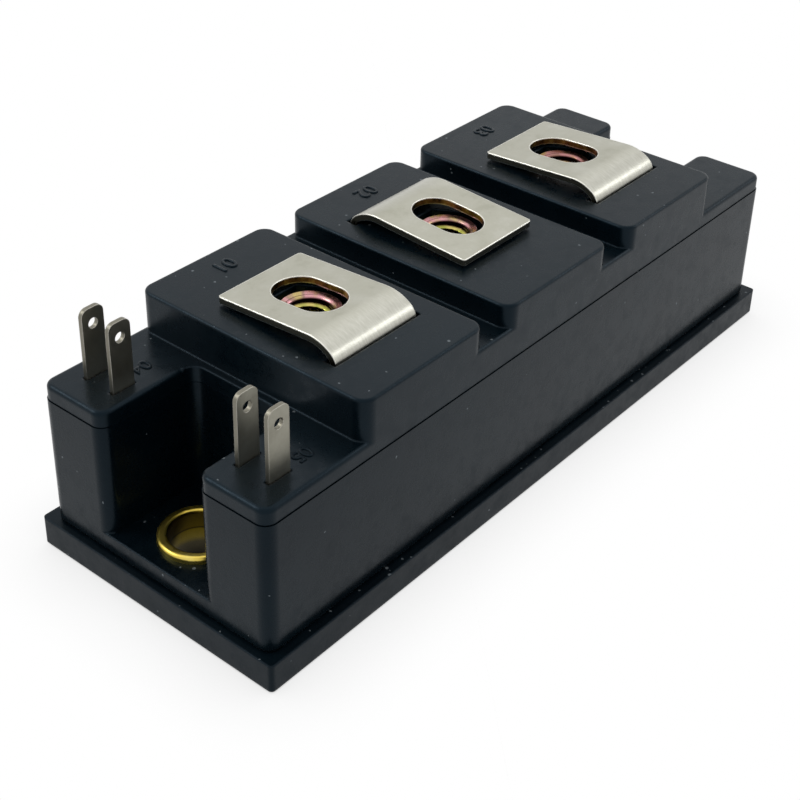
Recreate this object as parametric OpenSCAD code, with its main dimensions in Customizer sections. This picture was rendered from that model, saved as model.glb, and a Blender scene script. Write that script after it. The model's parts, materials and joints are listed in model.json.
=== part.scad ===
// Power transistor module: two switches in one moulded case with three screw terminals
// Millimetres, +Z up, origin at the middle of the mounting face
// X runs along the length, with the control tabs at the -X end

/* [Base] */
// Length of the base frame along X
frame_l = 94; // [90:0.5:98]
// Width of the base frame along Y
frame_w = 34; // [32:0.5:37]
// Height of the frame's ledge above the mounting face
frame_h = 3.4; // [3.2:0.1:4.5]
// Corner radius of the base frame
frame_r = 0.5; // [0.3:0.1:1.5]
// Height of the frame's underside above the mounting face
frame_rise = 0.1; // [0.05:0.05:0.3]
// Width of the frame's rim around the heat sink plate
frame_rim = 2; // [1.6:0.1:2.6]
// How far the frame's web reaches past the inside of the case wall
web_lip = 0.6; // [0.3:0.1:1]
// Thickness of the heat sink plate
plate_t = 2.6; // [2:0.1:2.8]
// Corner radius of the heat sink plate
plate_r = 1.5; // [0.5:0.5:3]
// Side clearance of the heat sink plate in the frame
plate_clear = 0.2; // [0.1:0.05:0.3]
// Distance from the end of the frame to a mounting hole
hole_inset = 7; // [6.6:0.1:7.6]

/* [Mounting bushes] */
// Bore of the bush, for an M6 screw
bush_bore_d = 6.5; // [6.2:0.1:6.8]
// Wall thickness of the bush sleeve
bush_wall = 0.65; // [0.5:0.05:0.8]
// Diameter of the raised rim
bush_rim_d = 8.8; // [8.6:0.1:10]
// Height of the rim above the bay floor
bush_rim_h = 0.8; // [0.6:0.1:1.2]
// Radius along the rim's top edges
bush_edge = 0.4; // [0.1:0.05:0.5]
// Height of the sleeve's lower end above the mounting face
bush_foot = 0.2; // [0.1:0.1:0.5]
// Radial clearance around the sleeve
bush_clear = 0.1; // [0.05:0.05:0.2]

/* [Case] */
// Width of the frame's ledge at the short sides
ledge_x = 0.9; // [0.6:0.1:1.2]
// Width of the frame's ledge at the long sides
ledge_y = 1.05; // [0.7:0.05:1.2]
// Height of the case wall from the ledge to the parting line
case_h = 15.6; // [14.5:0.1:18]
// Height of the groove at the foot of the case
foot_h = 0.3; // [0.2:0.05:0.5]
// Depth of the groove at the foot of the case
foot_in = 0.3; // [0.1:0.05:0.4]
// Thickness of the case wall
wall_t = 1.7; // [1.4:0.1:2]
// Corner radius of the case and the lid
case_r = 1.5; // [1:0.1:2.5]
// Corner radius inside the case
cavity_r = 0.8; // [0.4:0.1:1.2]
// Width of the open screw bay
bay_w = 13.4; // [12:0.2:13.8]
// Depth of the screw bay from the end of the case
bay_depth = 12.6; // [11.5:0.1:12.9]
// Thickness of the bay floor
bay_floor_t = 2.3; // [1.6:0.1:3]
// Thickness of the walls around the bay
bay_wall = 1.3; // [1:0.1:1.7]
// Radius of the bay's upright corners
bay_r = 1.5; // [0.8:0.1:2]

/* [Lid] */
// Step from the case wall in to the lid's side
lid_step = 0.1; // [0.05:0.05:0.3]
// Height of the groove at the parting line
part_gap = 0.1; // [0.05:0.05:0.3]
// Depth of the groove at the parting line
part_in = 0.2; // [0.1:0.05:0.5]
// Height of the towers above the parting line
tower_h = 1.9; // [1.6:0.1:2.4]
// Radius along the towers' top edges
tower_edge = 0.5; // [0.2:0.05:0.6]
// How much wider the bay is in the lid than in the case, each side
bay_step = 0.05; // [0.05:0.05:0.6]
// Width of the strip between the screw bay and the plateau
strip_l = 1; // [0.7:0.05:1.4]
// Height of the plateau above the towers
plateau_h = 2.1; // [1.8:0.1:2.8]
// Radius along the plateau's top edges
plateau_edge = 0.4; // [0.2:0.05:0.6]
// Width of the grooves between the terminal blocks
groove_w = 4.1; // [3.5:0.1:5]
// Height of the blocks above the plateau
block_h = 2.8; // [2.2:0.1:3.2]
// Radius of the blocks' upright corners
block_r = 1.6; // [1.2:0.1:2.4]
// Radius along the blocks' top edges
block_edge = 0.3; // [0.2:0.05:0.5]
// Thickness of the lid's end walls around the hollow underneath
lid_wall = 1.95; // [1.5:0.05:3]
// Height of the hollow above the parting line
hollow_h = 2.2; // [1.6:0.1:2.4]
// Depth of the ribs that locate the lid in the case
rib_h = 1.5; // [0.8:0.1:2.5]
// Thickness of the locating ribs
rib_t = 1.1; // [0.8:0.1:1.2]
// Distance from the locating ribs in to the hollow
rib_back = 0.3; // [0.2:0.1:0.6]
// Distance from the end of the hollow to the locating ribs
rib_end = 3.5; // [2:0.1:6]
// Clearance between the ribs and the case wall
rib_clear = 0.15; // [0.1:0.05:0.3]

/* [Terminals] */
// Thickness of the terminal sheet
term_t = 0.8; // [0.7:0.05:0.9]
// Width of the terminal plate
term_w = 12.4; // [12:0.1:13]
// Distance from the screw to the plate's free end
term_free = 7.2; // [6.8:0.1:8.5]
// Distance from the screw to the outer face of the leg
term_leg = 9.3; // [9:0.1:9.6]
// Slope of the plate up from its free end to the bend, in degrees
term_tilt = 3.6; // [0:0.1:4.5]
// Outer radius of the wide bend next to the plate
bend_r = 5; // [4:0.1:6]
// Slope at the end of the wide bend, in degrees
bend_turn = 35; // [20:1:50]
// Outer radius of the tight bend at the lid
knee_r = 2; // [1.6:0.1:2.4]
// Corner radius of the plate's free end
term_r = 0.4; // [0.2:0.1:2]
// Width of the screw slot
slot_w = 5.8; // [5.4:0.1:6.2]
// Length of the screw slot
slot_l = 8.9; // [7:0.1:9.5]
// Gap between the block and the plate's free end
term_gap = 0.3; // [0.2:0.05:0.5]
// Width of the leg below the lid
leg_w = 5; // [4:0.1:5.4]
// Step of the leg inwards under the resin
leg_jog = 2; // [1.6:0.1:2.2]
// Length of the foot beside the leg
foot_l = 2.5; // [2:0.1:2.8]
// Clearance outside the leg in the lid's slot
term_clear = 0.25; // [0.2:0.05:0.35]
// Clearance inside the leg in the lid's slot, for the bend
term_room = 0.5; // [0.45:0.05:0.8]
// Clearance at the ends of the lid's slot
term_side = 0.4; // [0.2:0.05:0.6]

/* [Nuts] */
// Width of the nut across its flats
nut_af = 8; // [7.8:0.1:8.2]
// Height of the nut's hexagon
nut_h = 2.75; // [2.4:0.05:3.2]
// Diameter of the round collar on the nut
collar_d = 6.8; // [6:0.1:7]
// Height of the collar
collar_h = 0.8; // [0.4:0.1:1.2]
// Depth of the collar's top below the top of the block
nut_sink = 0.1; // [0:0.05:0.4]
// Core diameter of the nut's thread
nut_bore_d = 4.2; // [4:0.05:4.3]
// Diameter of the conical lead-in at both ends of the thread
nut_lead_d = 5.4; // [4.8:0.1:5.6]
// Side clearance of the nut in its pocket
nut_clear = 0.15; // [0.1:0.05:0.25]
// Diameter of the screw well under the nut
well_d = 6; // [5.4:0.1:6.4]
// Depth of the screw well under the nut
well_h = 7; // [5:0.1:7.5]
// Wall thickness of the screw well
well_wall = 1.2; // [0.9:0.1:1.4]

/* [Control tabs] */
// Width of a tab
tab_w = 2.8; // [2.6:0.1:3]
// Thickness of a tab
tab_t = 0.5; // [0.4:0.1:0.8]
// Height of a tab above its tower
tab_h = 8; // [6.5:0.1:9]
// Length of a tab below the lid
tab_tail = 4.5; // [3.8:0.1:5]
// Radius of the tab's upper corners
tab_r = 0.9; // [0.4:0.1:1.2]
// Diameter of the hole in a tab
tab_hole_d = 1.2; // [1:0.1:1.6]
// Distance from the tab's top to its hole
tab_hole_drop = 1.85; // [1.5:0.05:2.4]
// Width of the shoulders that bear against the lid
tab_shoulder_w = 4.4; // [4:0.1:4.8]
// Height of the shoulders
tab_shoulder_h = 1.2; // [0.8:0.1:1.8]
// Distance from the end of the case to the tabs
tab_inset = 4.85; // [4.6:0.05:5.4]
// Distance from the bay wall to the inner tabs
tab_in = 0.85; // [0.75:0.05:1.2]
// Distance from the case wall to the outer tabs
tab_out = 1.4; // [1:0.05:1.8]
// Clearance beside the flat of a tab in the lid's slot
tab_clear = 0.1; // [0.05:0.05:0.3]
// Clearance at the edges of a tab in the lid's slot
tab_room = 0.15; // [0.1:0.05:0.6]

/* [Inside] */
// Gap between the two ceramic substrates
sub_gap = 1.2; // [1:0.1:1.6]
// Clearance of the substrates in the frame along X
sub_end = 1; // [0.5:0.1:1.6]
// Clearance of the substrates in the frame along Y
sub_side = 1.15; // [0.5:0.05:1.4]
// Thickness of the ceramic
ceramic_t = 0.6; // [0.4:0.1:1]
// Thickness of the copper below and above the ceramic
copper_t = 0.3; // [0.2:0.05:0.4]
// Bare edge of the ceramic around the copper
copper_inset = 0.5; // [0.4:0.1:0.6]
// Gap between neighbouring copper areas
copper_gap = 1; // [0.6:0.1:1.2]
// Side of a transistor die
trans_side = 10.5; // [9:0.1:11]
// Side of a diode die
diode_side = 6.5; // [5:0.1:7]
// Thickness of the dies
die_t = 0.4; // [0.3:0.05:0.5]
// Copper left beside a die along X
die_edge = 0.6; // [0.5:0.05:0.8]
// Copper left between a transistor and the emitter strip
trans_edge = 1.75; // [1:0.05:2]
// Copper left between a diode and the emitter strip
diode_edge = 2.55; // [1.5:0.05:3.5]
// Width of the emitter strip
strip_w = 6; // [5.4:0.1:6.6]
// Length of the copper arm under the link strap
arm_l = 4.4; // [4:0.1:5]
// Reach of the copper arm under the link strap past the middle line
arm_reach = 4.8; // [3:0.1:6]
// Length of a control area
key_l = 4; // [3.4:0.1:4.4]
// Width of a control area
key_w = 2.2; // [2:0.1:2.4]
// Gap between the two control areas
key_gap = 0.5; // [0.4:0.1:0.7]
// Radius of the bond wires
bond_r = 0.2; // [0.15:0.05:0.25]
// Rise of the bond wires above their ends
bond_rise = 2; // [1.5:0.1:2.4]
// Distance between the bond wires of a transistor
bond_pitch = 2.1; // [1.4:0.1:2.4]
// Distance between the bond wires of a diode
diode_pitch = 1.2; // [0.8:0.1:1.4]
// Distance of a bond wire's end from the edge of its die or copper
bond_in = 0.8; // [0.6:0.1:1]
// Distance of the emitter wires from the edge of their die
emitter_in = 2.5; // [1.5:0.1:4]
// Radius of the control leads
lead_r = 0.4; // [0.3:0.05:0.45]
// Size of the bends in the control leads
lead_turn = 0.8; // [0.6:0.1:1]
// Height of the control leads above the ledge
lead_lift = 2.8; // [2.6:0.1:3.2]
// Distance of a lead's end from the edge of its control area
lead_in = 1.6; // [1:0.1:2]
// Thickness of the link strap
strap_t = 0.6; // [0.4:0.1:0.8]
// Width of the link strap
strap_w = 4; // [3:0.1:5]
// Rise of the link strap above the copper
strap_rise = 2.2; // [1.6:0.1:2.6]
// Length of each foot of the link strap
strap_foot = 3; // [2:0.1:3.4]
// Distance of the strap's uprights from the edge of the copper
strap_in = 0.6; // [0.3:0.1:1]
// Distance of the resin's top below the parting line
resin_drop = 6; // [5.6:0.1:6.6]
// Thickness of the resin layer
resin_t = 3.4; // [2.5:0.1:3.6]
// Clearance of the resin around what passes through it
resin_clear = 0.1; // [0.05:0.05:0.2]

/* [Hidden] */
$fn = 64;
wire_sides = 8;
bond_steps = 8;
sheet_steps = 12;

// Heights of the levels above the mounting face
z_floor = frame_h + bay_floor_t;
z_part = frame_h + case_h;
z_tower = z_part + tower_h;
z_plateau = z_tower + plateau_h;
z_block = z_plateau + block_h;
z_term = z_block + term_gap;
z_nut = z_block - nut_sink - collar_h - nut_h;
z_well = z_nut - well_h;
z_tab = z_tower + tab_h;
z_tail = z_part - tab_tail;
z_resin = z_part - resin_drop - resin_t;
z_lead = frame_h + lead_lift;
z_foil = plate_t;
z_ceramic = z_foil + copper_t;
z_pad = z_ceramic + ceramic_t;
z_die = z_pad + copper_t;
z_wire = z_die + die_t;

// Outlines of the heat sink plate, the bushes, the case and its cavity
plate_l = frame_l - 2 * frame_rim - 2 * plate_clear;
plate_w = frame_w - 2 * frame_rim - 2 * plate_clear;
hole_x = frame_l / 2 - hole_inset;
sleeve_d = bush_bore_d + 2 * bush_wall;
case_l = frame_l - 2 * ledge_x;
case_w = frame_w - 2 * ledge_y;
cavity_l = case_l - 2 * wall_t;
cavity_w = case_w - 2 * wall_t;
bay_x = case_l / 2 - bay_depth;
bay_in = bay_x - bay_wall;
bay_side = bay_w / 2 + bay_wall;

// Outlines of the lid, its towers, its blocks and the hollow underneath
lid_l = case_l - 2 * lid_step;
lid_w = case_w - 2 * lid_step;
lid_bay_w = bay_w + 2 * bay_step;
lid_bay_x = bay_x - bay_step;
plateau_l = 2 * (lid_bay_x - strip_l);
block_l = (plateau_l - 2 * groove_w) / 3;
terminal_pitch = block_l + groove_w;
tower_w = (lid_w - lid_bay_w) / 2;
tower_l = (lid_l - plateau_l) / 2 + 2 * block_r;
tower_r = case_r - lid_step;
hollow_l = plateau_l - 2 * lid_wall;
hollow_w = cavity_w - 2 * (rib_clear + rib_t + rib_back);
rib_l = hollow_l - 2 * rib_end;
rib_y = cavity_w / 2 - rib_clear - rib_t / 2;

// Places of the terminals and tabs; the middle terminal is turned the other way
screw_x = [-terminal_pitch, 0, terminal_pitch];
turn = [-1, 1, -1];
leg_x = [0, (leg_w - term_w) / 2, 0];
leg_slot = term_t + term_clear + term_room;
nut_lead_h = (nut_lead_d - nut_bore_d) / 2;
tab_x = tab_inset - case_l / 2;
tab_inner_y = bay_side + tab_in;
tab_outer_y = cavity_w / 2 - tab_out;
tab_y = [tab_outer_y, tab_inner_y, -tab_inner_y, -tab_outer_y];

// Middles of the terminal's two bends and length of its plate, seen along X
knee_y = knee_r - term_leg;
bend_y = knee_y + (bend_r - knee_r) * sin(bend_turn);
term_tip = term_free + term_t * sin(term_tilt);
flat_l = (term_tip - bend_y) / cos(term_tilt) - bend_r * tan(term_tilt);
bend_z = z_term + flat_l * sin(term_tilt) - (bend_r - term_t) * cos(term_tilt);
knee_z = bend_z + (bend_r - knee_r) * cos(bend_turn);

// Copper areas, measured from the middle of a substrate to their edges
sub_l = bay_in - web_lip - sub_end - sub_gap / 2;
sub_w = cavity_w - 2 * web_lip - 2 * sub_side;
sub_x = (sub_l + sub_gap) / 2;
pad_l = sub_l / 2 - copper_inset;
pad_w = sub_w / 2 - copper_inset;
strip_y = pad_w - strip_w;
main_y = strip_y - copper_gap;
arm_x = pad_l - arm_l;
main_x = arm_x - copper_gap;
key_x = key_l - pad_l;
key_in = pad_w - 2 * key_w - key_gap;

// Places of the dies, the bond wires, the control leads and the link strap
trans_x = [
    main_x - die_edge - trans_side / 2 - sub_x,
    key_x + copper_gap + die_edge + trans_side / 2 + sub_x
];
trans_y = main_y - trans_edge - trans_side / 2;
diode_x = [
    die_edge - pad_l + diode_side / 2 - sub_x,
    pad_l - die_edge - diode_side / 2 + sub_x
];
diode_y = main_y - diode_edge - diode_side / 2;
bond_y = strip_y + 2 * bond_in;
base_y = pad_w - key_w / 2;
key_at = [
    [key_x - sub_x - bond_in, base_y, z_die],
    [key_x + sub_x - bond_in, -base_y, z_die]
];
base_at = [
    [trans_x[0] - trans_side / 2 + bond_in, trans_y + trans_side / 2 - bond_in, z_wire],
    [trans_x[1] - trans_side / 2 + bond_in, trans_y - trans_side / 2 + bond_in, z_wire]
];
lead_near = lead_in - pad_l - sub_x;
lead_far = lead_in - pad_l + sub_x;
strap_x = sub_gap / 2 + copper_inset + strap_in;

// Rounded rectangle about the origin
module rrect2d(l, w, r) {
    square([l - 2 * r, w], center = true);
    square([l, w - 2 * r], center = true);
    for (sx = [-1, 1], sy = [-1, 1])
        translate([sx * (l / 2 - r), sy * (w / 2 - r)])
            circle(r);
}

// Half section of a block at its side: upright wall with a rounded top edge
module side2d(r, h, f) {
    square([r, h - f]);
    square([r - f, h]);
    translate([r - f, h - f])
        circle(f);
}

// Full section of a block with both top edges rounded
module span2d(w, h, f) {
    translate([-w / 2, 0])
        square([w, h - f]);
    translate([f - w / 2, 0])
        square([w - 2 * f, h]);
    for (s = [-1, 1])
        translate([s * (w / 2 - f), h - f])
            circle(f);
}

// Block with upright corners of radius r and top edges of radius f
module soft_block(l, w, h, r, f) {
    rotate([90, 0, 90])
        linear_extrude(l - 2 * r, center = true)
            span2d(w, h, f);
    for (s = [0, 180])
        rotate(s) {
            translate([l / 2 - r, 0, 0])
                rotate([90, 0, 0])
                    linear_extrude(w - 2 * r, center = true)
                        side2d(r, h, f);
            translate([l / 2 - r, w / 2 - r, 0])
                rotate_extrude(angle = 90)
                    side2d(r, h, f);
            translate([l / 2 - r, r - w / 2, 0])
                rotate(-90)
                    rotate_extrude(angle = 90)
                        side2d(r, h, f);
        }
}

// Plan of the space inside the case, drawn in by c from its walls
module cavity2d(c) {
    difference() {
        rrect2d(cavity_l - 2 * c, cavity_w - 2 * c, cavity_r);
        for (s = [-1, 1])
            translate([s * (bay_in - c + case_l / 2), 0])
                square([case_l, 2 * (bay_side + c)], center = true);
    }
}

// Plan of the open screw bay at the +X end: rounded at the back, flared at the mouth
module bay2d(w, back, mouth) {
    translate([back + bay_depth, 0])
        rrect2d(2 * bay_depth, w, bay_r);
    for (s = [-1, 1])
        difference() {
            translate([mouth - bay_r / 2, s * w / 2])
                square([bay_r, 2 * bay_r], center = true);
            translate([mouth - bay_r, s * (w / 2 + bay_r)])
                circle(bay_r);
        }
}

// Cutter for both mounting bushes
module bush_holes() {
    for (s = [-1, 1])
        translate([s * hole_x, 0, -1])
            cylinder(d = sleeve_d + 2 * bush_clear, h = z_floor + 2);
}

// Swept round wire along a path in one upright plane, with level ends
module wire(path, r) {
    n = len(path) - 1;
    run = path[n] - path[0];
    side = [-run[1], run[0], 0] / norm([run[0], run[1]]);
    ring = [
        for (i = [0 : n])
            let (
                fore = i < n ? path[i + 1] - path[i] : [0, 0, -1],
                aft = i > 0 ? path[i] - path[i - 1] : [0, 0, path[1][2] - path[0][2]],
                both = fore / norm(fore) + aft / norm(aft),
                along = i == 0 ? aft / norm(aft) : i == n ? fore : both / norm(both),
                across = cross(along, side)
            )
            for (k = [0 : wire_sides - 1])
                path[i] + r * (cos(360 * k / wire_sides) * side + sin(360 * k / wire_sides) * across)
    ];
    walls = [
        for (i = [0 : n - 1], k = [0 : wire_sides - 1])
            let (a = i * wire_sides + k, b = i * wire_sides + (k + 1) % wire_sides)
            [a, a + wire_sides, b + wire_sides, b]
    ];
    first = [for (k = [0 : wire_sides - 1]) k];
    last = [for (k = [wire_sides - 1 : -1 : 0]) n * wire_sides + k];
    polyhedron(points = ring, faces = concat([first, last], walls), convexity = 4);
}

// Arched path of a bond wire from a to b
function bond_path(a, b) = [
    for (i = [0 : bond_steps])
        let (t = 180 * i / bond_steps)
        a + (b - a) * (1 - cos(t)) / 2 + [0, 0, bond_rise * sin(t)]
];

// Path of a control lead: down from a tab, along below the resin, down to the copper
function lead_path(from, to) =
    let (step = (to - from) / norm(to - from) * lead_turn)
    [
        [from[0], from[1], z_tail],
        [from[0], from[1], z_lead + lead_turn],
        [from[0] + step[0], from[1] + step[1], z_lead],
        [to[0] - step[0], to[1] - step[1], z_lead],
        [to[0], to[1], z_lead - lead_turn],
        [to[0], to[1], z_die]
    ];

module base_plate() {
    color([0.75, 0.74, 0.7])
        difference() {
            linear_extrude(plate_t)
                rrect2d(plate_l, plate_w, plate_r);
            bush_holes();
        }
}

module base_frame() {
    color([0.12, 0.13, 0.15])
        difference() {
            translate([0, 0, frame_rise])
                linear_extrude(frame_h - frame_rise)
                    rrect2d(frame_l, frame_w, frame_r);
            translate([0, 0, -1])
                linear_extrude(plate_t + 1)
                    rrect2d(plate_l + 2 * plate_clear, plate_w + 2 * plate_clear, plate_r + plate_clear);
            linear_extrude(frame_h + 1)
                square([2 * (bay_in - web_lip), cavity_w - 2 * web_lip], center = true);
            bush_holes();
        }
}

module case_shell() {
    color([0.14, 0.15, 0.17])
        difference() {
            union() {
                translate([0, 0, frame_h])
                    linear_extrude(case_h)
                        rrect2d(case_l - 2 * foot_in, case_w - 2 * foot_in, case_r - foot_in);
                translate([0, 0, frame_h + foot_h])
                    linear_extrude(case_h - foot_h)
                        rrect2d(case_l, case_w, case_r);
            }
            translate([0, 0, frame_h - 1])
                linear_extrude(case_h + 2)
                    cavity2d(0);
            for (s = [0, 180])
                rotate(s)
                    translate([0, 0, z_floor])
                        linear_extrude(case_h)
                            bay2d(bay_w, bay_x, case_l / 2);
            bush_holes();
        }
}

// Four towers and the strips that join them behind the screw bays
module lid_towers() {
    for (s = [0, 180])
        rotate(s) {
            for (t = [-1, 1])
                translate([(lid_l - tower_l) / 2, t * (lid_w - tower_w) / 2, 0])
                    soft_block(tower_l, tower_w, tower_h - part_gap, tower_r, tower_edge);
            linear_extrude(tower_h - part_gap)
                difference() {
                    translate([plateau_l / 2 - bay_r, -lid_bay_w / 2 - bay_r])
                        square([lid_bay_x - plateau_l / 2 + 2 * bay_r, lid_bay_w + 2 * bay_r]);
                    translate([lid_bay_x + bay_depth, 0])
                        rrect2d(2 * bay_depth, lid_bay_w, bay_r);
                }
        }
}

// Plateau with the three terminal blocks, hollow underneath
module lid_plateau() {
    difference() {
        union() {
            soft_block(plateau_l, lid_w, z_plateau - z_part - part_gap, block_r, plateau_edge);
            for (x = screw_x)
                translate([x, 0, 0])
                    soft_block(block_l, lid_w, z_block - z_part - part_gap, block_r, block_edge);
        }
        translate([0, 0, -1])
            linear_extrude(hollow_h - part_gap + 1)
                square([hollow_l, hollow_w], center = true);
    }
}

// Foot of the lid, drawn in from its sides so that a thin groove runs along the parting line
module lid_foot() {
    linear_extrude(part_gap)
        difference() {
            rrect2d(lid_l - 2 * part_in, lid_w - 2 * part_in, tower_r - part_in);
            for (s = [0, 180])
                rotate(s)
                    bay2d(lid_bay_w, lid_bay_x, lid_l / 2 - part_in);
            square([hollow_l, hollow_w], center = true);
        }
}

module lid() {
    color([0.16, 0.17, 0.19])
        difference() {
            union() {
                translate([0, 0, z_part])
                    lid_foot();
                translate([0, 0, z_part + part_gap]) {
                    lid_towers();
                    lid_plateau();
                }
                for (s = [-1, 1])
                    translate([0, s * rib_y, z_part])
                        cube([rib_l, rib_t, 2 * rib_h], center = true);
                for (x = screw_x)
                    translate([x, 0, z_well - well_wall])
                        cylinder(d = well_d + 2 * well_wall, h = z_plateau - z_well);
            }
            for (i = [0 : 2])
                translate([screw_x[i], 0, 0]) {
                    translate([0, 0, z_well])
                        cylinder(d = well_d, h = z_block);
                    translate([0, 0, z_nut])
                        cylinder(d = (nut_af + 2 * nut_clear) / cos(30), h = z_block, $fn = 6);
                    translate([0, turn[i] * (term_leg + term_clear - leg_slot / 2), z_block])
                        cube([term_w + 2 * term_side, leg_slot, z_block], center = true);
                }
            for (y = tab_y)
                translate([tab_x, y, z_part])
                    cube([tab_w + 2 * tab_room, tab_t + 2 * tab_clear, 3 * tower_h], center = true);
        }
}

// Brass eyelet with a raised rim that is rounded inside and outside
module bush(x) {
    color([0.72, 0.58, 0.2])
        translate([x, 0, 0])
            rotate_extrude() {
                translate([bush_bore_d / 2, bush_foot])
                    square([bush_wall, z_floor + bush_rim_h - bush_edge - bush_foot]);
                translate([(bush_bore_d + bush_rim_d) / 4, z_floor])
                    span2d((bush_rim_d - bush_bore_d) / 2, bush_rim_h, bush_edge);
            }
}

// Points of an arc about y, z, with angles from upright
function arc(y, z, r, from, to) = [
    for (k = [0 : sheet_steps - 1])
        let (t = from + (to - from) * k / sheet_steps)
        [y + r * sin(t), z + r * cos(t)]
];

// One face of a terminal's sheet, at depth d below its upper face: plate, two bends and leg
function sheet_line(d) = concat(
    [[term_free + (term_t - d) * sin(term_tilt), z_term + (term_t - d) * cos(term_tilt)]],
    arc(bend_y, bend_z, bend_r - d, term_tilt, -bend_turn),
    arc(knee_y, knee_z, knee_r - d, -bend_turn, -90),
    [[d - term_leg, knee_z], [d - term_leg, z_part]]
);

// Section of a terminal's sheet, seen along X
module sheet2d() {
    upper = sheet_line(0);
    lower = sheet_line(term_t);
    polygon(concat(upper, [for (k = [len(lower) - 1 : -1 : 0]) lower[k]]));
}

// Plan of a terminal's plate with rounded corners at its free end
module plate2d() {
    square_l = 2 * (term_leg + term_free);
    translate([0, term_tip - square_l / 2])
        rrect2d(term_w, square_l, term_r);
}

// Plan of the screw slot
module slot2d() {
    square([slot_w, slot_l - slot_w], center = true);
    for (s = [-1, 1])
        translate([0, s * (slot_l - slot_w) / 2])
            circle(d = slot_w);
}

// Terminal i: sloping plate with an obround slot, two bends, stepped leg and foot on the copper
module terminal(i) {
    color([0.75, 0.74, 0.7])
        translate([screw_x[i], 0, 0])
            rotate(turn[i] > 0 ? 180 : 0) {
                difference() {
                    intersection() {
                        rotate([90, 0, 90])
                            linear_extrude(term_w, center = true)
                                sheet2d();
                        linear_extrude(2 * z_term)
                            plate2d();
                    }
                    translate([0, 0, z_block])
                        linear_extrude(z_block)
                            slot2d();
                }
                translate([leg_x[i] - leg_w / 2, -term_leg, z_resin - term_t])
                    cube([leg_w, term_t, z_tower - z_resin + term_t]);
                translate([leg_x[i] - leg_w / 2, -term_leg, z_resin - term_t])
                    cube([leg_w, leg_jog + term_t, term_t]);
                translate([leg_x[i] - leg_w / 2, leg_jog - term_leg, z_die])
                    cube([leg_w, term_t, z_resin - z_die]);
                translate([leg_x[i] - leg_w / 2, leg_jog - term_leg - foot_l, z_die])
                    cube([leg_w, foot_l + term_t, term_t]);
            }
}

// Captive hexagon nut under terminal i, with a round collar on top
module nut(i) {
    color([0.78, 0.66, 0.36])
        translate([screw_x[i], 0, z_nut])
            difference() {
                union() {
                    cylinder(d = nut_af / cos(30), h = nut_h, $fn = 6);
                    cylinder(d = collar_d, h = nut_h + collar_h);
                }
                translate([0, 0, -1])
                    cylinder(d = nut_bore_d, h = nut_h + collar_h + 2);
                cylinder(d1 = nut_lead_d, d2 = nut_bore_d, h = nut_lead_h);
                translate([0, 0, nut_h + collar_h - nut_lead_h])
                    cylinder(d1 = nut_bore_d, d2 = nut_lead_d, h = nut_lead_h);
            }
}

// Control tab i: blade with rounded upper corners and a hole, shoulders under the lid and a tail
module tab(i) {
    color([0.7, 0.69, 0.64])
        translate([tab_x, tab_y[i], 0])
            rotate([90, 0, 0])
                linear_extrude(tab_t, center = true)
                    difference() {
                        union() {
                            translate([0, z_tail])
                                span2d(tab_w, z_tab - z_tail, tab_r);
                            translate([-tab_shoulder_w / 2, z_part - tab_shoulder_h])
                                square([tab_shoulder_w, tab_shoulder_h]);
                        }
                        translate([0, z_tab - tab_hole_drop])
                            circle(d = tab_hole_d);
                    }
}

// Copper foil under a substrate
module foil(s) {
    color([0.72, 0.43, 0.3])
        translate([s * sub_x - pad_l, -pad_w, z_foil])
            cube([2 * pad_l, 2 * pad_w, copper_t]);
}

module ceramic(s) {
    color([0.93, 0.92, 0.88])
        translate([s * sub_x - sub_l / 2, -sub_w / 2, z_ceramic])
            cube([sub_l, sub_w, ceramic_t]);
}

// Copper area between two corners
module area2d(x1, y1, x2, y2) {
    translate([x1, y1])
        square([x2 - x1, y2 - y1]);
}

module pads_front() {
    color([0.72, 0.43, 0.3])
        translate([-sub_x, 0, z_pad])
            linear_extrude(copper_t) {
                area2d(-pad_l, pad_w - key_w, key_x, pad_w);
                area2d(-pad_l, key_in, key_x, key_in + key_w);
                area2d(key_x + copper_gap, strip_y, pad_l, pad_w);
                area2d(arm_x, -arm_reach, pad_l, pad_w);
                area2d(-pad_l, -pad_w, main_x, main_y);
            }
}

module pads_rear() {
    color([0.72, 0.43, 0.3])
        translate([sub_x, 0, z_pad])
            linear_extrude(copper_t) {
                area2d(-pad_l, -pad_w, key_x, key_w - pad_w);
                area2d(-pad_l, -key_in - key_w, key_x, -key_in);
                area2d(-pad_l, strip_y, pad_l, pad_w);
                area2d(key_x + copper_gap, -pad_w, pad_l, main_y);
                area2d(-pad_l, -arm_reach, pad_l, main_y);
            }
}

// Square semiconductor die centred at x, y
module die(x, y, side) {
    color([0.5, 0.52, 0.55])
        translate([x, y, z_die + die_t / 2])
            cube([side, side, die_t], center = true);
}

// Bond wire at x from a die's upper face at y to the emitter strip
module emitter_bond(x, y) {
    wire(bond_path([x, y, z_wire], [x, bond_y, z_die]), bond_r);
}

// Bond wires of switch i: four from the transistor, two from the diode, one from the base
module bonds(i) {
    inner = sign(trans_x[i] - diode_x[i]);
    color([0.85, 0.85, 0.86]) {
        for (k = [-1.5 : 1 : 1.5])
            emitter_bond(trans_x[i] + k * bond_pitch, trans_y + trans_side / 2 - emitter_in);
        for (k = [0, 1])
            emitter_bond(
                diode_x[i] + inner * (diode_side / 2 - bond_in - k * diode_pitch),
                diode_y + diode_side / 2 - emitter_in
            );
        wire(bond_path(base_at[i], key_at[i]), bond_r);
    }
}

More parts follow.
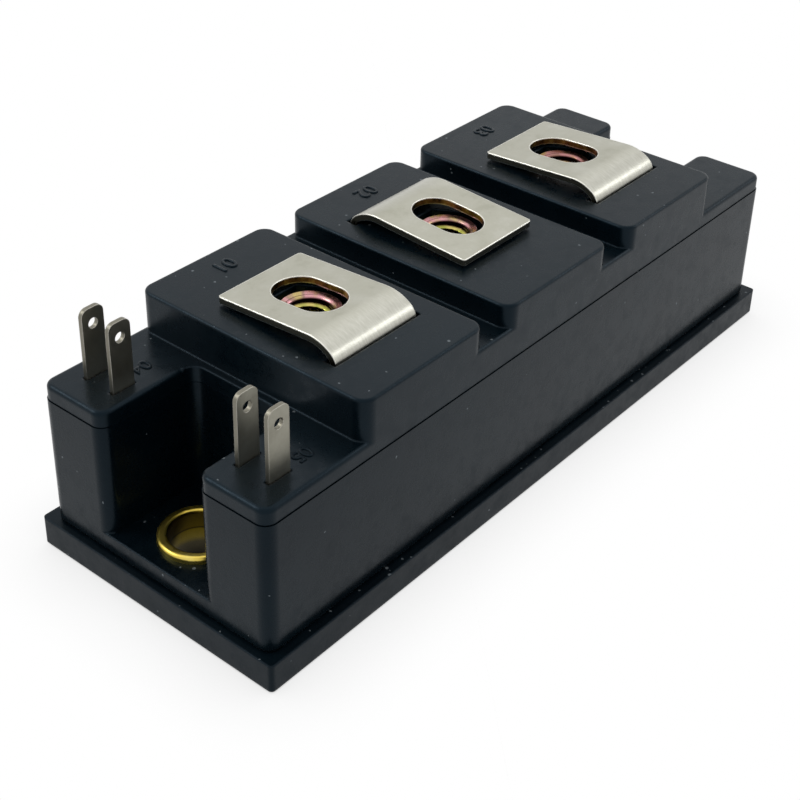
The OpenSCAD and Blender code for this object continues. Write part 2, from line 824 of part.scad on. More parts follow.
// Hat-shaped strap that joins the two switches across the gap
module link_strap() {
    color([0.72, 0.43, 0.3])
        translate([0, strap_w / 2, z_die])
            rotate([90, 0, 0])
                linear_extrude(strap_w)
                    polygon([
                        [-strap_x - strap_foot, 0],
                        [-strap_x, 0],
                        [-strap_x, strap_rise - strap_t],
                        [strap_x, strap_rise - strap_t],
                        [strap_x, 0],
                        [strap_x + strap_foot, 0],
                        [strap_x + strap_foot, strap_t],
                        [strap_x + strap_t, strap_t],
                        [strap_x + strap_t, strap_rise],
                        [-strap_x - strap_t, strap_rise],
                        [-strap_x - strap_t, strap_t],
                        [-strap_x - strap_foot, strap_t]
                    ]);
}

// Control lead from tab i to a point on the copper
module lead(i, to) {
    color([0.6, 0.15, 0.12])
        wire(lead_path([tab_x, tab_y[i]], to), lead_r);
}

module resin() {
    color([0.2, 0.16, 0.12])
        difference() {
            translate([0, 0, z_resin])
                linear_extrude(resin_t)
                    cavity2d(0);
            for (i = [0 : 2])
                translate([screw_x[i] - turn[i] * leg_x[i], turn[i] * (term_leg - term_t / 2), z_resin])
                    cube([leg_w + 2 * resin_clear, term_t + 2 * resin_clear, 3 * resin_t], center = true);
            for (y = tab_y)
                translate([tab_x, y, z_resin - 1])
                    cylinder(r = lead_r + resin_clear, h = resin_t + 2);
        }
}

base_plate();
base_frame();
case_shell();
lid();
bush(-hole_x);  // bush_front
bush(hole_x);  // bush_rear
terminal(0);  // terminal_front
terminal(1);  // terminal_middle
terminal(2);  // terminal_rear
nut(0);  // nut_front
nut(1);  // nut_middle
nut(2);  // nut_rear
tab(0);  // tab_1
tab(1);  // tab_2
tab(2);  // tab_3
tab(3);  // tab_4
foil(-1);  // foil_front
foil(1);  // foil_rear
ceramic(-1);  // ceramic_front
ceramic(1);  // ceramic_rear
pads_front();
pads_rear();
die(trans_x[0], trans_y, trans_side);  // transistor_front
die(trans_x[1], trans_y, trans_side);  // transistor_rear
die(diode_x[0], diode_y, diode_side);  // diode_front
die(diode_x[1], diode_y, diode_side);  // diode_rear
bonds(0);  // bonds_front
bonds(1);  // bonds_rear
link_strap();
lead(0, [lead_near, base_y]);  // lead_1
lead(1, [lead_near, tab_inner_y]);  // lead_2
lead(2, [lead_far, -tab_inner_y]);  // lead_3
lead(3, [lead_far, -base_y]);  // lead_4
resin();
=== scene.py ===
import json
import math

import bmesh
import bpy
from mathutils import Matrix, Vector


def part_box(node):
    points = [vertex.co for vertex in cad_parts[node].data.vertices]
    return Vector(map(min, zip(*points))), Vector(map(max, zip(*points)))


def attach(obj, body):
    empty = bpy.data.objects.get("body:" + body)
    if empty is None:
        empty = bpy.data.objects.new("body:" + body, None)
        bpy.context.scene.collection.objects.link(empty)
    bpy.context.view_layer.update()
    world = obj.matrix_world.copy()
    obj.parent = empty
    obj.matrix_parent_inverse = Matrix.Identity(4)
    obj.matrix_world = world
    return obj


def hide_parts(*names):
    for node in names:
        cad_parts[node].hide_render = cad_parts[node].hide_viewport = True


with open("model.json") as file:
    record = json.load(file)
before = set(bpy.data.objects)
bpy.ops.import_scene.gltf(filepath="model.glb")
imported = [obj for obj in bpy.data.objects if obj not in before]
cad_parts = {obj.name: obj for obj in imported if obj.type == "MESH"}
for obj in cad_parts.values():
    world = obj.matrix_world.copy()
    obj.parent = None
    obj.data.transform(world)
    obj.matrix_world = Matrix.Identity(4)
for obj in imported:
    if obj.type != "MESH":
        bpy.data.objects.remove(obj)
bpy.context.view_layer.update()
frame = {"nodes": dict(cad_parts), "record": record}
scene = bpy.context.scene
MM = 0.001


# Middle of a CAD node's box
def middle(node):
    low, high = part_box(node)
    return (low + high) / 2


# Places taken from the frame, in metres
CASE_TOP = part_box("case_shell")[1].z
CASE_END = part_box("case_shell")[1].x
BLOCK_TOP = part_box("lid")[1].z
BUSH_X = middle("bush_rear").x
BUSH_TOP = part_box("bush_rear")[1].z
NUT_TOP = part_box("nut_middle")[1].z
TERMINAL_PITCH = middle("terminal_rear").x - middle("terminal_middle").x

# Sizes of the solids that the frame doesn't give, in metres
PARTING_GAP = 0.1 * MM
BAY_HALF_WIDTH = 6.6 * MM
TOWER_TOP = CASE_TOP + 1.9 * MM
BORE_RADIUS = 3.25 * MM
SLOT_HALF_WIDTH = 2.9 * MM


# Camera at the photograph's angle, from a fit to the module's corners
def make_camera():
    photo_side = 800
    focal_pixels, centre_row = 1536.6, 280.0
    azimuth, elevation, roll = math.radians(-50.7643), math.radians(30.6728), math.radians(1.4176)
    target, distance = Vector((1.506, 7.999, 15.0)) * MM, 185.975 * MM
    back = Vector((
        math.sin(azimuth) * math.cos(elevation),
        -math.cos(azimuth) * math.cos(elevation),
        math.sin(elevation),
    ))
    level = Vector((math.cos(azimuth), math.sin(azimuth), 0.0))
    upright = back.cross(level)
    right = level * math.cos(roll) + upright * math.sin(roll)
    up = upright * math.cos(roll) - level * math.sin(roll)
    data = bpy.data.cameras.new("camera")
    camera = bpy.data.objects.new("camera", data)
    scene.collection.objects.link(camera)
    turn = Matrix((right, up, back)).transposed().to_4x4()
    camera.matrix_world = Matrix.Translation(target + back * distance) @ turn
    data.sensor_width = 36.0
    data.lens = focal_pixels / photo_side * data.sensor_width
    data.shift_y = centre_row / photo_side - 0.5
    data.clip_start, data.clip_end = 0.005, 20.0
    scene.camera = camera


# Node graph of one material. Its helpers add nodes and give back the socket to go on with.
class Graph:
    def __init__(self, name):
        self.mat = bpy.data.materials.new(name)
        self.mat.use_nodes = True
        self.tree = self.mat.node_tree
        self.tree.nodes.clear()
        self.out = self.add("ShaderNodeOutputMaterial")
        self.bsdf = self.add("ShaderNodeBsdfPrincipled")
        self.set(self.out.inputs["Surface"], self.bsdf.outputs["BSDF"])
        self.place = self.add("ShaderNodeTexCoord").outputs["Object"]

    def add(self, kind, **values):
        node = self.tree.nodes.new(kind)
        for key, value in values.items():
            setattr(node, key, value)
        return node

    def set(self, target, value):
        """Links a socket to an input, or gives the input a constant."""
        if isinstance(value, bpy.types.NodeSocket):
            self.tree.links.new(value, target)
        else:
            target.default_value = value

    def shade(self, **values):
        """Sets inputs of the surface shader, named in lower case with underscores."""
        names = {socket.name.lower().replace(" ", "_"): socket for socket in self.bsdf.inputs}
        for key, value in values.items():
            self.set(names[key], value)

    def calc(self, operation, *operands):
        node = self.add("ShaderNodeMath", operation=operation)
        for target, value in zip(node.inputs, operands):
            self.set(target, value)
        return node.outputs[0]

    def mix(self, share, a, b):
        node = self.add("ShaderNodeMix", data_type="RGBA")
        for index, value in ((0, share), (6, a), (7, b)):
            self.set(node.inputs[index], (*value, 1) if isinstance(value, tuple) else value)
        return node.outputs[2]

    def span(self, source, low, high, to_low, to_high):
        node = self.add("ShaderNodeMapRange")
        limits = (("From Min", low), ("From Max", high), ("To Min", to_low), ("To Max", to_high))
        for key, value in (("Value", source), *limits):
            self.set(node.inputs[key], value)
        return node.outputs[0]

    def ramp(self, source, stops, blend="EASE"):
        node = self.add("ShaderNodeValToRGB")
        node.color_ramp.interpolation = blend
        while len(node.color_ramp.elements) < len(stops):
            node.color_ramp.elements.new(0.5)
        for element, (position, colour) in zip(node.color_ramp.elements, stops):
            element.position = position
            element.color = (*colour, 1)
        self.set(node.inputs["Fac"], source)
        return node.outputs["Color"]

    def stretched(self, vector, scale, turn=(0, 0, 0)):
        node = self.add("ShaderNodeMapping")
        node.inputs["Rotation"].default_value = turn
        node.inputs["Scale"].default_value = scale
        self.set(node.inputs["Vector"], vector)
        return node.outputs["Vector"]

    def noise(self, scale, detail, rough=0.5, stretch=(1, 1, 1), out="Fac"):
        node = self.add("ShaderNodeTexNoise")
        node.inputs["Scale"].default_value = scale
        node.inputs["Detail"].default_value = detail
        node.inputs["Roughness"].default_value = rough
        self.set(node.inputs["Vector"], self.stretched(self.place, stretch))
        return node.outputs[out]

    def geometry(self, out):
        return self.add("ShaderNodeNewGeometry").outputs[out]

    def parts(self, vector):
        """The three components of a vector."""
        node = self.add("ShaderNodeSeparateXYZ")
        self.set(node.inputs["Vector"], vector)
        return node.outputs

    def steep(self, axis):
        """Size of the surface normal's component along axis 0, 1 or 2."""
        return self.calc("ABSOLUTE", self.parts(self.geometry("True Normal"))[axis])

    def within(self, value, limit):
        """1 where the value lies between minus and plus the limit, else 0."""
        return self.calc("LESS_THAN", self.calc("ABSOLUTE", value), limit)

    def edge(self, radius, low, high):
        """Rounded edge normal, and a mask that rises to 1 where it turns away from the flat one."""
        soft = self.add("ShaderNodeBevel", samples=6)
        soft.inputs["Radius"].default_value = radius
        dot = self.add("ShaderNodeVectorMath", operation="DOT_PRODUCT")
        self.set(dot.inputs[0], soft.outputs["Normal"])
        self.set(dot.inputs[1], self.geometry("True Normal"))
        return soft.outputs["Normal"], self.span(dot.outputs["Value"], high, low, 0.0, 1.0)

    def bump(self, height, strength, depth, normal=None):
        node = self.add("ShaderNodeBump")
        node.inputs["Strength"].default_value = strength
        node.inputs["Distance"].default_value = depth
        self.set(node.inputs["Height"], height)
        if normal is not None:
            self.set(node.inputs["Normal"], normal)
        return node.outputs["Normal"]

    def specks(self, scale, size, share, stretch=(1, 1, 1)):
        """Sparse ragged specks: cells of a bent Voronoi pattern, of which a share is kept."""
        waver = self.add("ShaderNodeVectorMath", operation="SCALE")
        waver.inputs["Scale"].default_value = 0.3 * MM
        self.set(waver.inputs[0], self.noise(scale=2400, detail=2, out="Color"))
        bent = self.add("ShaderNodeVectorMath", operation="ADD")
        self.set(bent.inputs[0], self.place)
        self.set(bent.inputs[1], waver.outputs["Vector"])
        cells = self.add("ShaderNodeTexVoronoi")
        cells.inputs["Scale"].default_value = scale
        self.set(cells.inputs["Vector"], self.stretched(bent.outputs["Vector"], stretch, (0.6, 0.3, 0.5)))
        chance = self.add("ShaderNodeSeparateColor")
        self.set(chance.inputs["Color"], cells.outputs["Color"])
        kept = self.calc("GREATER_THAN", chance.outputs[0], 1 - share)
        reach = self.calc("MULTIPLY", chance.outputs[1], size)
        return self.calc("MULTIPLY", kept, self.calc("LESS_THAN", cells.outputs["Distance"], reach))


# Zone whose edges stay crisp: along the parting line and in the screw bays
def crisp_zone(g):
    line_reach, end_room, wall_room = 0.45 * MM, 0.6 * MM, 0.3 * MM
    x, y, z = g.parts(g.place)
    parting = g.within(g.calc("SUBTRACT", z, CASE_TOP + PARTING_GAP / 2), line_reach)
    along = g.within(x, CASE_END - end_room)
    across = g.within(y, BAY_HALF_WIDTH + wall_room)
    bay = g.calc("MULTIPLY", g.calc("MULTIPLY", along, across), g.calc("LESS_THAN", z, CASE_TOP))
    return g.calc("MAXIMUM", parting, bay)


# Specks and lint everywhere, and settled dust on upward faces
def dust_mask(g, dust, settled):
    lint = g.specks(scale=760, size=0.055, share=dust * 0.5, stretch=(1, 0.2, 1))
    loose = g.calc("MAXIMUM", g.specks(scale=760, size=0.11, share=dust), lint)
    upward = g.calc("GREATER_THAN", g.steep(2), 0.7)
    lying = g.calc("MULTIPLY", upward, g.specks(scale=1100, size=0.20, share=settled))
    return g.calc("MAXIMUM", loose, lying)


# Black moulded plastic with soft edges lightened as wear and as a painted highlight, fine grain, mottled
# gloss and dust
def plastic(name, dark, light, rough, gloss, dust, settled):
    g = Graph(name)
    wear_and_highlight_tone, dust_tone = (0.012, 0.016, 0.020), (0.18, 0.20, 0.21)
    colour = g.ramp(g.noise(scale=90, detail=4, rough=0.55), [(0.32, dark), (0.72, light)])
    soft, mask = g.edge(0.34 * MM, 0.80, 0.995)
    crisp = crisp_zone(g)
    normal = g.mix(crisp, soft, g.geometry("Normal"))
    mask = g.calc("MULTIPLY", mask, g.calc("LESS_THAN", crisp, 0.5))
    # Edges lightened: partly wear, partly a painted highlight along the rounded edges
    wear_and_highlight = g.calc("MULTIPLY", mask, g.span(g.noise(scale=700, detail=3), 0.3, 0.7, 0.25, 0.9))
    colour = g.mix(wear_and_highlight, colour, wear_and_highlight_tone)
    colour = g.mix(g.calc("MULTIPLY", dust_mask(g, dust, settled), 0.6), colour, dust_tone)
    mottle = g.noise(scale=520, detail=5, rough=0.7)
    grain = g.noise(scale=2600, detail=3, rough=0.6)
    g.shade(
        base_color=colour,
        roughness=g.span(mottle, 0.3, 0.7, rough + 0.10, rough - 0.10),
        normal=g.bump(grain, 0.22, 0.04 * MM, normal),
        specular_ior_level=gloss,
        specular_tint=(0.53, 0.78, 1.0, 1),
    )
    return g.mat


# Bare metal whose roughness and fine bump follow its grain
def finish_metal(g, colour, rough, spread, grain, bump, normal=None):
    g.shade(
        base_color=colour,
        roughness=g.span(grain, 0.25, 0.75, rough - spread, rough + spread),
        normal=g.bump(grain, bump, 0.02 * MM, normal),
        metallic=1.0,
    )
    return g.mat


# Heat sink plate: nickel with a fine grain and edges lightened by a painted highlight
def heat_sink(name):
    g = Graph(name)
    tones, edge_highlight_tone = [(0.3, (0.60, 0.58, 0.53)), (0.7, (0.70, 0.68, 0.63))], (0.85, 0.83, 0.78)
    colour = g.ramp(g.noise(scale=160, detail=4, rough=0.6), tones)
    soft, mask = g.edge(0.16 * MM, 0.75, 0.995)
    # Painted highlight along the edges
    colour = g.mix(g.calc("MULTIPLY", mask, 0.6), colour, edge_highlight_tone)
    grain = g.noise(scale=1800, detail=3, rough=0.6, stretch=(1, 8, 1))
    return finish_metal(g, colour, 0.36, 0.05, grain, 0.05, soft)


# Terminal sheet: mottled satin plate, a brushed bend painted lighter as a painted sheen, darker side and end
# faces, dark brown to gold slot walls, and a painted highlight along the rims.
# The bend lies at -Y, but at +Y on the middle terminal, so y is turned there to give one length for all.
def sheet(name):
    g = Graph(name)
    plate_tones = [(0.3, (0.365, 0.36, 0.295)), (0.5, (0.415, 0.41, 0.345)), (0.7, (0.455, 0.45, 0.39))]
    brushed_and_sheen_tones = [(0.30, (0.43, 0.425, 0.37)), (0.70, (0.55, 0.545, 0.49))]
    slot_wall_tones = [(0.34, (0.055, 0.033, 0.013)), (0.5, (0.24, 0.14, 0.045)), (0.66, (0.44, 0.31, 0.09))]
    darker_face_tone, rim_highlight_tone = (0.10, 0.096, 0.072), (0.98, 0.97, 0.90)
    bend_start, bend_full, free_end, slot_half_length = -5.4 * MM, -7.2 * MM, 6.8 * MM, 4.7 * MM
    half_pitch, slot_room = TERMINAL_PITCH / 2, 0.1 * MM
    x, y, _ = g.parts(g.place)
    colour = g.ramp(g.noise(scale=260, detail=5, rough=0.7), plate_tones)

    outer = g.calc("GREATER_THAN", g.calc("ABSOLUTE", x), half_pitch)
    length = g.calc("MULTIPLY", y, g.calc("SUBTRACT", g.calc("MULTIPLY", outer, 2.0), 1.0))
    # The bend is painted lighter, with brushed streaks: partly brushing, partly a painted sheen
    bend = g.span(length, bend_start, bend_full, 0.0, 0.8)
    brush = g.noise(scale=5200, detail=3, rough=0.6, stretch=(1, 0.16, 0.16))
    colour = g.mix(bend, colour, g.ramp(brush, brushed_and_sheen_tones, "LINEAR"))

    upright = g.calc("LESS_THAN", g.steep(2), 0.3)
    tip = g.calc("MULTIPLY", upright, g.calc("GREATER_THAN", length, free_end))
    sides = g.calc("GREATER_THAN", g.steep(0), 0.7)
    colour = g.mix(g.calc("MAXIMUM", sides, tip), colour, darker_face_tone)

    from_screw = g.calc("WRAP", x, half_pitch, -half_pitch)
    across = g.within(from_screw, SLOT_HALF_WIDTH + slot_room)
    in_slot = g.calc("MULTIPLY", across, g.within(y, slot_half_length))
    slot_wall_cloud = g.noise(scale=620, detail=3, rough=0.6, stretch=(1, 1, 0.6))
    colour = g.mix(g.calc("MULTIPLY", in_slot, upright), colour, g.ramp(slot_wall_cloud, slot_wall_tones))

    soft, mask = g.edge(0.25 * MM, 0.90, 0.998)
    # Painted highlight along the rims
    colour = g.mix(g.calc("MULTIPLY", mask, 0.85), colour, rim_highlight_tone)
    grain = g.noise(scale=2400, detail=2, stretch=(1, 5, 1))
    return finish_metal(g, colour, 0.33, 0.04, grain, 0.03, soft)


# Tinned blade: satin flats, darker edge faces with a painted highlight along the rim
def blade(name):
    g = Graph(name)
    tones = [(0.3, (0.25, 0.24, 0.195)), (0.5, (0.30, 0.29, 0.24)), (0.7, (0.35, 0.34, 0.285))]
    darker_face_tone, rim_highlight_tone = (0.19, 0.18, 0.145), (0.60, 0.58, 0.52)
    colour = g.ramp(g.noise(scale=260, detail=4, rough=0.6), tones)
    colour = g.mix(g.calc("LESS_THAN", g.steep(1), 0.7), colour, darker_face_tone)
    soft, mask = g.edge(0.12 * MM, 0.88, 0.998)
    # Painted highlight along the rim
    colour = g.mix(g.calc("MULTIPLY", mask, 0.6), colour, rim_highlight_tone)
    grain = g.noise(scale=1600, detail=2, stretch=(3, 3, 1))
    return finish_metal(g, colour, 0.40, 0.05, grain, 0.04, soft)


# Passivated nut: gold and olive, with a pink bloom round the collar, and painted shade in the thread's
# grooves.
# The rear nut is browner than the others.
def passivated(name):
    g = Graph(name)
    gold_tones = [(0.36, (0.30, 0.31, 0.06)), (0.50, (0.52, 0.43, 0.14)), (0.64, (0.36, 0.34, 0.09))]
    bloom_tones = [
        (0.30, (0.38, 0.32, 0.09)), (0.45, (0.58, 0.29, 0.31)),
        (0.56, (0.34, 0.21, 0.17)), (0.70, (0.48, 0.37, 0.15)),
    ]
    brown_tone, groove_tone = (0.22, 0.085, 0.065), (0.030, 0.007, 0.008)
    bloom_depth = 0.45 * MM
    cloud = g.noise(scale=420, detail=2)
    x, _, z = g.parts(g.place)
    collar = g.calc("GREATER_THAN", z, NUT_TOP - bloom_depth)
    colour = g.mix(collar, g.ramp(cloud, gold_tones), g.ramp(cloud, bloom_tones))
    rear = g.calc("GREATER_THAN", x, TERMINAL_PITCH / 2)
    colour = g.mix(g.calc("MULTIPLY", rear, 0.55), colour, brown_tone)
    # Painted shade in the thread's grooves, the lead-in and creases of the collar
    groove = g.add("ShaderNodeAttribute", attribute_name="groove")
    colour = g.mix(groove.outputs["Fac"], colour, groove_tone)
    return finish_metal(g, colour, 0.26, 0.05, g.noise(scale=1800, detail=3, rough=0.6), 0.04)


# Turned brass: bright rim, bore with gold bands from its foot to the rim, darkened by painted shade towards
# its foot and in a thin painted shadow line
def turned_brass(name):
    g = Graph(name)
    rim_tones = [(0.3, (0.60, 0.45, 0.07)), (0.5, (0.68, 0.52, 0.10)), (0.7, (0.74, 0.60, 0.16))]
    bore_shade_bands = [
        (0.10, (0.016, 0.015, 0.013)), (0.36, (0.06, 0.052, 0.030)), (0.46, (0.15, 0.115, 0.022)),
        (0.62, (0.14, 0.100, 0.008)), (0.645, (0.02, 0.014, 0.003)), (0.67, (0.085, 0.058, 0.005)),
        (0.95, (0.11, 0.075, 0.008)),
    ]
    margin = 0.1 * MM
    colour = g.ramp(g.noise(scale=160, detail=4, rough=0.6), rim_tones)
    x, y, z = g.parts(g.place)
    off = g.calc("SUBTRACT", g.calc("ABSOLUTE", x), BUSH_X)
    radius = g.calc("SQRT", g.calc("ADD", g.calc("MULTIPLY", off, off), g.calc("MULTIPLY", y, y)))
    bore = g.calc("LESS_THAN", radius, BORE_RADIUS + margin)
    height = g.span(z, 0.0, BUSH_TOP + margin, 0.0, 1.0)
    # Painted shade in the bore: dark at its foot and in a thin line part way up
    colour = g.mix(bore, colour, g.ramp(height, bore_shade_bands, "LINEAR"))
    grain = g.noise(scale=1800, detail=3, rough=0.6, stretch=(1, 1, 6))
    return finish_metal(g, colour, 0.31, 0.05, grain, 0.03)


# Plain finish of the inner pieces
def plain(name, dark, light, rough, scale, metallic=0.0):
    g = Graph(name)
    cloud = g.noise(scale=scale, detail=4, rough=0.6)
    g.shade(
        base_color=g.ramp(cloud, [(0.3, dark), (0.7, light)]),
        roughness=g.span(cloud, 0.3, 0.7, rough - 0.05, rough + 0.06),
        normal=g.bump(cloud, 0.1, 0.03 * MM),
        metallic=metallic,
    )
    return g.mat


# Darkest and lightest tone of the plastics, and one look for each material slot
BASE_BLACK = (0.0008, 0.0026, 0.0042), (0.0014, 0.0042, 0.0062)
LID_BLACK = (0.0008, 0.0028, 0.0045), (0.0014, 0.0045, 0.0066)
looks = {
    "frame_plastic": plastic("frame_plastic", *BASE_BLACK, rough=0.36, gloss=0.130, dust=0.36, settled=0.8),
    "case_plastic": plastic("case_plastic", *BASE_BLACK, rough=0.26, gloss=0.152, dust=0.24, settled=0.4),
    "lid_plastic": plastic("lid_plastic", *LID_BLACK, rough=0.30, gloss=0.185, dust=0.22, settled=0.12),
    "nickel": sheet("nickel"),
    "nickel_plate": heat_sink("nickel_plate"),
    "brass": turned_brass("brass"),
    "zinc": passivated("zinc"),
    "tin": blade("tin"),
    "copper": plain("copper", (0.55, 0.24, 0.13), (0.68, 0.34, 0.20), 0.32, 500, 1.0),
    "ceramic": plain("ceramic", (0.78, 0.77, 0.73), (0.86, 0.85, 0.81), 0.45, 900),
    "silicon": plain("silicon", (0.20, 0.22, 0.26), (0.30, 0.32, 0.36), 0.22, 300, 0.6),
    "aluminium_wire": plain("aluminium_wire", (0.74, 0.74, 0.75), (0.84, 0.84, 0.85), 0.30, 1500, 1.0),
    "sleeve": plain("sleeve", (0.32, 0.03, 0.02), (0.42, 0.05, 0.03), 0.5, 800),
    "resin": plain("resin", (0.020, 0.015, 0.010), (0.035, 0.026, 0.018), 0.3, 200),
}
for subpart in frame["record"]["subparts"]:
    mesh = frame["nodes"][subpart["node"]].data
    mesh.materials.clear()
    mesh.materials.append(looks[subpart["material_slot"]])


# Adds a mesh to the part, smooth up to an angle in degrees
def new_piece(name, mesh, slot, sharp):
    piece = bpy.data.objects.new(name, mesh)
    scene.collection.objects.link(piece)
    mesh.materials.append(looks[slot])
    mesh.polygons.foreach_set("use_smooth", [True] * len(mesh.polygons))
    mesh.set_sharp_from_angle(angle=math.radians(sharp))
    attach(piece, "root")
    return piece


# Rings of a threaded nut: up the hexagon, over the dished collar and down the thread.
# A point is (radius, z, shade), and shade is how much painted shade darkens it, from 0 to 1.
def nut_rings(node, points):
    low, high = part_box(node)
    foot, top, flat = low.z, high.z, (high.y - low.y) / 2
    collar, collar_height = 3.4 * MM, 0.8 * MM
    core, major, lead_in = 2.1 * MM, 2.5 * MM, 2.65 * MM
    pitch, turn_start, steps, thread_top = 0.8 * MM, 0.11, 72, high.z - 0.40 * MM
    flank, crest, fade, lead_groove = 1.9, 0.2, 2.2, 0.9
    run_out, run_out_height = 0.858 * MM, 0.13 * MM
    chamfer, chamfer_height = 0.45 * MM, 0.22 * MM
    shoulder = top - collar_height

    def hexagon(k, inset):
        angle = 2 * math.pi * k / points % (math.pi / 3) - math.pi / 6
        return min(flat / math.cos(angle), flat / math.cos(math.pi / 6) - inset)

    def thread(k, z):
        turn = ((z - top) / pitch - k / points + turn_start) % 1.0
        profile = flank * abs(2 * turn - 1) - crest
        depth = min(1.0, max(0.0, profile, (z - top + run_out) / run_out_height))
        radius = core + (major - core) * depth
        cone = lead_in - (z - foot)
        return (cone, z, lead_groove) if cone > radius else (radius, z, max(0.0, 1 - fade * (1 - depth)))

    outside = (
        (foot, chamfer), (foot + chamfer_height, 0.0), (shoulder - chamfer_height, 0.0), (shoulder, chamfer),
    )
    rings = [[(hexagon(k, inset), z, 0.0) for k in range(points)] for z, inset in outside]
    # How far inward from the collar's edge and down from its top, in millimetres, and the painted shade
    dish = (
        (0.0, 0.8, 0.0), (0.0, 0.10, 0.0), (0.02, 0.03, 0.0), (0.07, 0.0, 0.0), (0.50, 0.14, 0.0),
        (0.53, 0.15, 0.6), (0.57, 0.19, 0.6), (0.60, 0.20, 0.0), (0.78, 0.36, 0.0), (0.80, 0.38, 0.6),
    )
    for inward, down, groove in dish:
        rings.append([(collar - inward * MM, top - down * MM, groove)] * points)
    for step in range(1, steps):
        z = thread_top + (foot - thread_top) * step / steps
        rings.append([thread(k, z) for k in range(points)])
    rings.append([(lead_in, foot, 0.0)] * points)
    return rings


# Joins a nut's rings to a closed mesh that keeps the painted shade of the grooves as a point attribute
def nut_mesh(name, node):
    points = 96
    axis = middle(node)
    rings = nut_rings(node, points)
    bm = bmesh.new()
    grid = []
    for ring in rings:
        grid.append([])
        for k, (radius, z, _) in enumerate(ring):
            angle = 2 * math.pi * k / points
            place = (axis.x + radius * math.cos(angle), axis.y + radius * math.sin(angle), z)
            grid[-1].append(bm.verts.new(place))
    for a, b in zip(grid, grid[1:] + grid[:1]):
        for k in range(points):
            after = (k + 1) % points
            bm.faces.new((a[k], a[after], b[after], b[k]))
    bmesh.ops.recalc_face_normals(bm, faces=bm.faces)
    mesh = bpy.data.meshes.new(name)
    bm.to_mesh(mesh)
    bm.free()
    grooves = [groove for ring in rings for _, _, groove in ring]
    mesh.attributes.new("groove", "FLOAT", "POINT").data.foreach_set("value", grooves)
    return mesh


for place in ("front", "middle", "rear"):
    name = "threaded_nut_" + place
    piece = new_piece(name, nut_mesh(name, "nut_" + place), "zinc", 32)
    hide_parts("nut_" + place)


# Plain raised numerals on the lid, read from the +Y side and sunk to half their height
def numeral(name, text, place, size):
    data = bpy.data.curves.new(name, "FONT")
    data.body = text
    data.size = size
    data.extrude = 0.10 * MM
    data.bevel_depth = 0.03 * MM
    data.bevel_resolution = 1
    data.align_x = "CENTER"
    data.align_y = "CENTER"
    words = bpy.data.objects.new(name, data)
    scene.collection.objects.link(words)
    words.location = place
    words.rotation_euler.z = math.pi
    bpy.context.view_layer.update()
    mesh = bpy.data.meshes.new_from_object(words.evaluated_get(bpy.context.evaluated_depsgraph_get()))
    mesh.transform(words.matrix_world)
    bpy.data.objects.remove(words)
    mesh.name = name
    mesh.materials.clear()
    new_piece(name, mesh, "lid_plastic", 30)


# Places of the numerals, x and y in millimetres
TERMINAL_MARKS = ((-23.0, 12.7), (0.4, 12.7), (23.4, 12.7))
TAB_MARKS = ((-37.6, 10.3), (-37.4, -12.2))
for k, (x, y) in enumerate(TERMINAL_MARKS, 1):
    numeral("numeral_terminal_%d" % k, "0%d" % k, (x * MM, y * MM, BLOCK_TOP), 2.9 * MM)
for k, (x, y) in enumerate(TAB_MARKS, 1):
    numeral("numeral_tabs_%d" % k, "0%d" % (k + len(TERMINAL_MARKS)), (x * MM, y * MM, TOWER_TOP), 2.3 * MM)


# Blends two shaders: the second is for rays from the camera, reflected rays and rays that pass through
def seen_blend(tree, lit, seen):
    ray = tree.nodes.new("ShaderNodeLightPath")
    share = ray.outputs["Is Camera Ray"]
    for name in ("Is Glossy Ray", "Is Transmission Ray"):
        either = tree.nodes.new("ShaderNodeMath")
        either.operation = "MAXIMUM"
        tree.links.new(share, either.inputs[0])
        tree.links.new(ray.outputs[name], either.inputs[1])
        share = either.outputs[0]
    blend = tree.nodes.new("ShaderNodeMixShader")
    tree.links.new(share, blend.inputs["Fac"])
    tree.links.new(lit, blend.inputs[1])
    tree.links.new(seen, blend.inputs[2])
    return blend.outputs["Shader"]


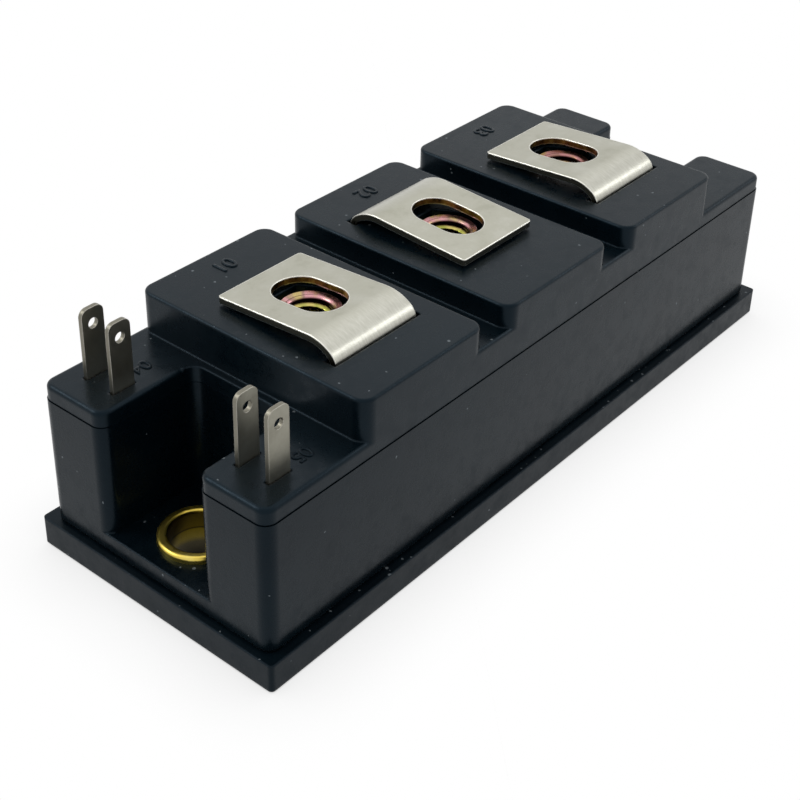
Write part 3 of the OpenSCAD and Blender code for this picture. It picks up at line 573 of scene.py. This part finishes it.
# Pale floor that looks white apart from the shade under and beside the part
def make_floor():
    bm = bmesh.new()
    bmesh.ops.create_grid(bm, x_segments=1, y_segments=1, size=3.0)
    mesh = bpy.data.meshes.new("floor")
    bm.to_mesh(mesh)
    bm.free()
    floor = bpy.data.objects.new("floor", mesh)
    floor.location.z = -0.2 * MM
    scene.collection.objects.link(floor)
    g = Graph("floor")
    g.shade(base_color=(0.80, 0.80, 0.80, 1), roughness=0.9)
    shade = g.add("ShaderNodeAmbientOcclusion", samples=8)
    shade.inputs["Distance"].default_value = 10 * MM
    greys = [(place, (grey, grey, grey)) for place, grey in ((0.0, 0.20), (0.35, 0.80), (1.0, 1.0))]
    glow = g.add("ShaderNodeEmission")
    g.set(glow.inputs["Color"], g.ramp(shade.outputs["AO"], greys, "LINEAR"))
    g.set(g.out.inputs["Surface"], seen_blend(g.tree, g.bsdf.outputs["BSDF"], glow.outputs["Emission"]))
    mesh.materials.append(g.mat)


# White surroundings that light the part a little less than they show
def make_world():
    world = bpy.data.worlds.new("world")
    scene.world = world
    world.use_nodes = True
    tree = world.node_tree
    tree.nodes.clear()
    shaders = []
    for colour, strength in (((0.95, 0.97, 1.0, 1), 0.75), ((1, 1, 1, 1), 1.0)):
        background = tree.nodes.new("ShaderNodeBackground")
        background.inputs["Color"].default_value = colour
        background.inputs["Strength"].default_value = strength
        shaders.append(background.outputs["Background"])
    out = tree.nodes.new("ShaderNodeOutputWorld")
    tree.links.new(seen_blend(tree, *shaders), out.inputs["Surface"])


# Square soft lamp, with place, aim and side in metres and power in watts
def panel(name, place, aim, side, power, colour=(1, 1, 1)):
    data = bpy.data.lights.new(name, "AREA")
    data.shape = "SQUARE"
    data.size = side
    data.energy = power
    data.color = colour
    lamp = bpy.data.objects.new(name, data)
    lamp.location = place
    lamp.rotation_mode = "QUATERNION"
    lamp.rotation_quaternion = (Vector(aim) - Vector(place)).to_track_quat("-Z", "Y")
    scene.collection.objects.link(lamp)


make_camera()
make_floor()
make_world()
panel("top", (0.25, 0.25, 0.95), (0, 0, 0.02), 1.3, 1.7)
panel("back", (-0.44, 0.49, 0.58), (0, 0, 0.02), 0.35, 2.0)
panel("side", (0.60, -0.44, 0.47), (0, 0, 0.015), 0.30, 0.8, (0.97, 0.98, 1.0))
scene.view_settings.view_transform = "Standard"
